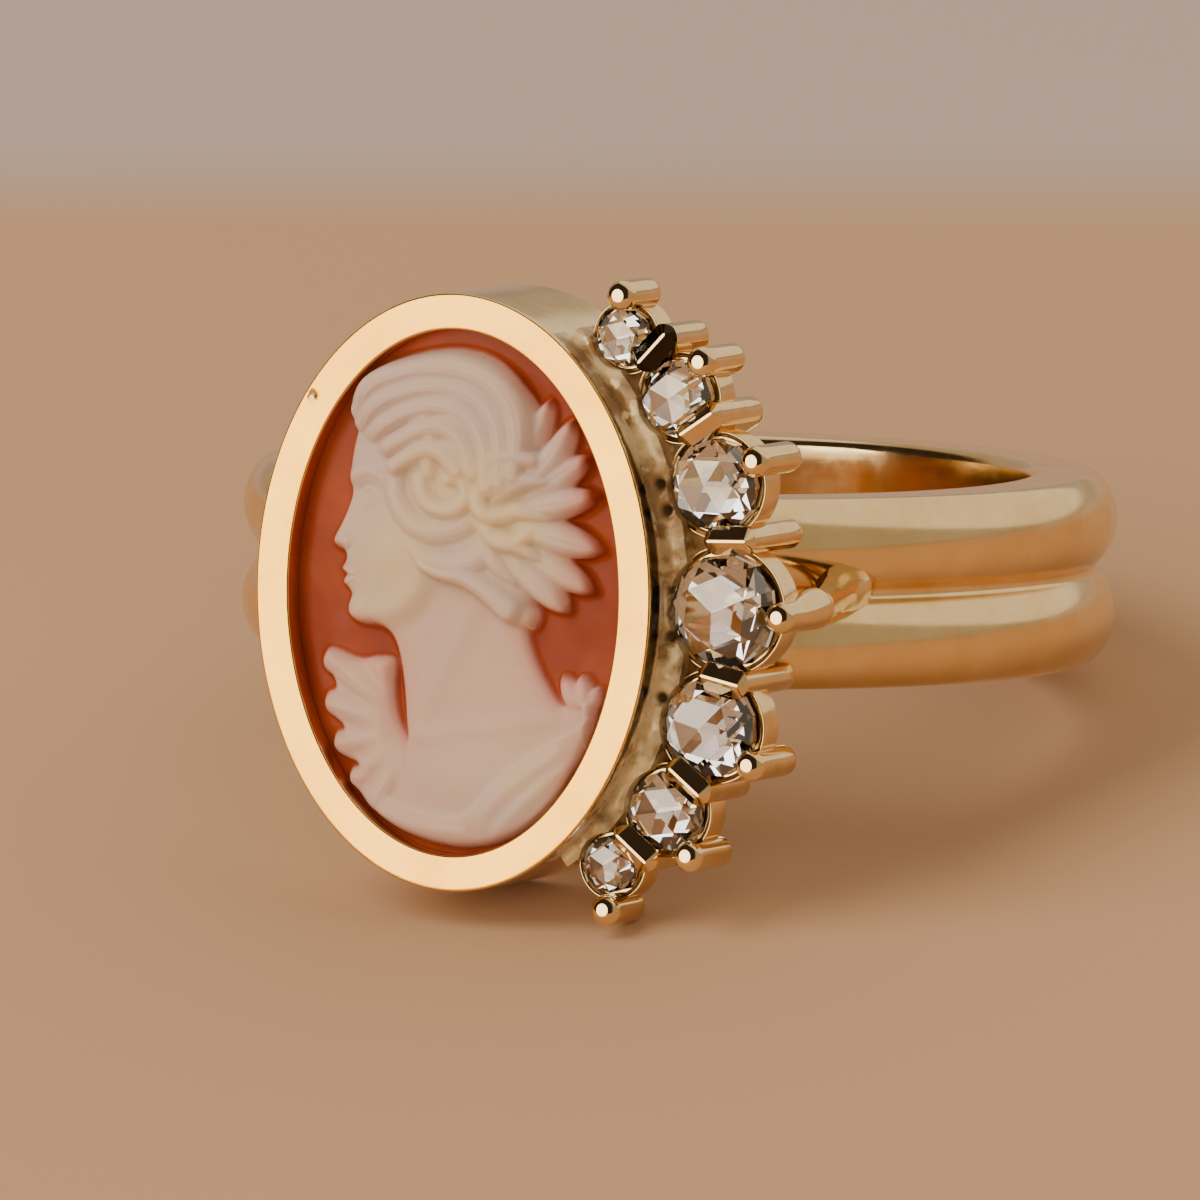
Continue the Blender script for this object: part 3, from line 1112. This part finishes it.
class RING_OT_bars(bpy.types.Operator):
    """Makes the six ridged divider bars between the stones"""
    bl_idname = "cameo_ring.bars"
    bl_label = "Divider bars"

    # Rounding of the back edges, length of the rounded ends, and how pointed those are
    corner_back, end_round, end_shape = 0.3, 0.28, 1.25
    # Half width of the ridge, and length of its rounded ends
    ridge_half, ridge_end = 0.035, 0.05
    end_steps = 19

    def execute(self, context):
        s = sizes_now()
        gold = gold_finish("bar_gold", tone("gold"), 0.09, 0.4, 1300, 0.25)
        for i in range(STONE_COUNT - 1):
            self.make_bar(i, s, gold)
        return {"FINISHED"}

    def slices(self, s, h):
        """Half length, half width, length of the rounded end and height of each slice of a bar."""
        l, t, corner, end = s["bar_l"] / 2, s["bar_t"] / 2, self.corner_back, self.end_round
        back = [(l + u, t, end, z) for u, z in arc((-corner, corner), corner, -90, 0, 6)]
        straight = [(l, t, end, z) for z in np.linspace(corner, h - s["bar_roof"], 6)[1:]]
        return back + straight + [(l - s["bar_point"], self.ridge_half, self.ridge_end, h)]

    def make_bar(self, i, s, gold):
        middle, out, aside = bar_place(i, s)
        h = BAR_DEPTH[min(row_of(i), row_of(i + 1))]
        base = s["girdle_z"] + s["bar_rise"] - h
        n = 2 * self.end_steps
        half_turn = np.linspace(-90, 90, self.end_steps)
        a = np.radians(np.concatenate([half_turn, half_turn + 180]))
        side = np.repeat([1, -1], self.end_steps)
        along_end, over_end = (np.sign(v) * np.abs(v) ** self.end_shape for v in (np.cos(a), np.sin(a)))
        rings = []
        for half_l, half_t, end, z in self.slices(s, h):
            u, w = side * (half_l - end) + end * along_end, half_t * over_end
            outline = middle + u[:, None] * out + w[:, None] * aside
            rings.append(np.column_stack([outline, np.full(n, base + z)]))
        faces = loop_faces(len(rings), n, close_rows=False) + end_faces(len(rings), n)
        bar = new_piece(f"bar_{i + 1}", np.concatenate(rings), faces, gold, "gold_mount")
        if i == 0:
            # the sloped sides of the top bar are tarnished
            bar.data.materials.append(gold_finish("dark_gold", TARNISH, 0.15))
            for face in bar.data.polygons:
                z = (HEAD @ face.center / MM)[2] - base
                face.material_index = int(h - s["bar_roof"] + 0.02 < z < h - 0.02)
        soft = bar.modifiers.new("soft_edges", "BEVEL")
        soft.width = 0.02 * MM
        soft.segments = 3
        soft.limit_method = "ANGLE"
        soft.angle_limit = math.radians(32)
        soft.harden_normals = True


class RING_OT_cameo(bpy.types.Operator):
    """Makes the carved shell cameo"""
    bl_idname = "cameo_ring.cameo"
    bl_label = "Cameo"

    # Where the white layer is thick and creamy: place and reach
    thick_places = [((-1.3, 0.45), (0.9, 1.4)), ((0.1, 2.75), (1.1, 0.9)), ((1.15, 2.1), (0.7, 0.9)),
                    ((2, 1.6), (0.6, 0.6))]
    # Where the ground shows through it: by how much, place and reach
    thin_places = [(0.22, (1.35, 5.1), (0.8, 0.5)), (0.2, (3.4, 1.8), (0.75, 2.0)),
                   (0.12, (3.1, -4.3), (0.6, 0.8))]

    def execute(self, context):
        s = sizes_now()
        ring_sizes = context.scene.cameo_ring
        m, n = ring_sizes.carving_columns, ring_sizes.carving_rows
        seam = 0.005
        a, b = s["half_w"] - s["rim_w"] - seam, s["half_l"] - s["rim_w"] - seam
        u, v = np.meshgrid(np.linspace(-1, 1, m + 1), np.linspace(-1, 1, n + 1))
        x, y = a * u * np.sqrt(1 - v ** 2 / 2), b * v * np.sqrt(1 - u ** 2 / 2)
        inner = np.clip(1 - (x / a) ** 2 - (y / b) ** 2, 0, 1)
        relief = step(inner, 0, 0.06) * carved_height(x, y)
        cuts = 0.002 * np.sin(x * 9 + y * 4 + 1.5 * np.sin(y * 2.2))
        cuts *= step(inner, 0.02, 0.2) * (relief < 0.02)
        z = s["cameo_edge"] + s["ground_rise"] * inner + relief + cuts
        front = np.stack([x, y, z], -1).reshape(-1, 3)
        columns = m + 1
        ring = list(range(m)) + [j * columns + m for j in range(n)]
        ring += [n * columns + i for i in range(m, 0, -1)] + [j * columns for j in range(n, 0, -1)]
        rear = front[ring].copy()
        rear[:, 2] = s["cameo_edge"] - s["shell_t"]
        base, k = len(front), len(ring)
        faces = loop_faces(n + 1, columns, close_rows=False, close_columns=False)
        faces += [(ring[i], ring[(i + 1) % k], base + (i + 1) % k, base + i) for i in range(k)]
        faces.append(tuple(range(base, base + k)))
        shell = shell_finish(tone("ground"), tone("white"), tone("cream"))
        cameo = new_piece("carved_cameo", np.vstack([front, rear]), faces, shell, "cameo", corner=70)
        cover = np.minimum(relief, softened(relief, 1, 7))
        cover -= sum(share * bump(x, y, *place) for share, *place in self.thin_places)
        thick = np.clip(sum(bump(x, y, *place) for place in self.thick_places), 0, 1)
        for name, field in (("relief", cover), ("thick", thick)):
            paint(cameo, name, np.concatenate([field.reshape(-1), np.zeros(k)]))
        return {"FINISHED"}


class RING_OT_stones(bpy.types.Operator):
    """Makes the seven rose-cut stones"""
    bl_idname = "cameo_ring.stones"
    bl_label = "Rose-cut stones"

    # Height of the dome as a share of the radius
    dome_share = 0.5
    # Corners of the star facets: distance out as a share of the radius, height as a share of the dome
    star_share, star_rise = 0.64, 0.78
    # Degrees that the first stone is turned, and each next one more
    first_turn, turn_step = 15, 23

    def execute(self, context):
        s = sizes_now()
        clear = stone_finish(tone("stone"))
        for i in range(STONE_COUNT):
            self.make_stone(i, s, clear)
        return {"FINISHED"}

    def make_stone(self, i, s, clear):
        """Flat back, straight edge with twelve sides, eighteen facets over it and six star facets on top."""
        (x, y), z, r = stone_place(i, s), s["girdle_z"], stone_radius(i)
        h = self.dome_share * r
        turn = self.first_turn + self.turn_step * i
        sides, stars = 12, 6
        corners = [(*(np.array((x, y)) + radius * spot), level)
                   for count, radius, level in ((sides, r, z - s["girdle_t"]), (sides, r, z),
                                                (stars, self.star_share * r, z + self.star_rise * h))
                   for spot in oval(1, 1, turn + 360 / count * np.arange(count))]
        faces = [tuple(range(sides))[::-1]] + loop_faces(2, sides, close_rows=False)
        first_star, point = 2 * sides, 2 * sides + stars
        for k in range(stars):
            a, b, c = (sides + (2 * k + more) % sides for more in (0, 1, 2))
            here, there = first_star + k, first_star + (k + 1) % stars
            faces += [(a, b, here), (b, there, here), (b, c, there), (here, there, point)]
        points = corners + [(x, y, z + h)]
        new_piece(f"rose_cut_{i + 1}", points, faces, clear, f"stone_{i + 1}", smooth=False)


class RING_PT_panel(bpy.types.Panel):
    """Lists the ring's sizes, colours and pieces"""
    bl_idname = "RING_PT_panel"
    bl_label = "Cameo Ring"
    bl_space_type = "VIEW_3D"
    bl_region_type = "UI"
    bl_category = "Cameo Ring"

    def draw(self, context):
        for operator in PIECES:
            self.layout.operator(operator.bl_idname)
        for group in (context.scene.cameo_ring, context.scene.cameo_colours, context.scene.cameo_stage):
            for key in type(group).__annotations__:
                self.layout.prop(group, key)


PIECES = (RING_OT_stage, RING_OT_band, RING_OT_bezel, RING_OT_gallery, RING_OT_claws, RING_OT_bars,
          RING_OT_cameo, RING_OT_stones)
CLASSES = (RingSizes, RingColours, RingStage, *PIECES, RING_PT_panel)


def register():
    for cls in CLASSES:
        bpy.utils.register_class(cls)
    bpy.types.Scene.cameo_ring = PointerProperty(type=RingSizes)
    bpy.types.Scene.cameo_colours = PointerProperty(type=RingColours)
    bpy.types.Scene.cameo_stage = PointerProperty(type=RingStage)


def unregister():
    for name in ("cameo_ring", "cameo_colours", "cameo_stage"):
        delattr(bpy.types.Scene, name)
    for cls in reversed(CLASSES):
        bpy.utils.unregister_class(cls)


def main():
    register()
    for operator in PIECES:
        group, name = operator.bl_idname.split(".")
        getattr(getattr(bpy.ops, group), name)()


if __name__ == "__main__":
    main()
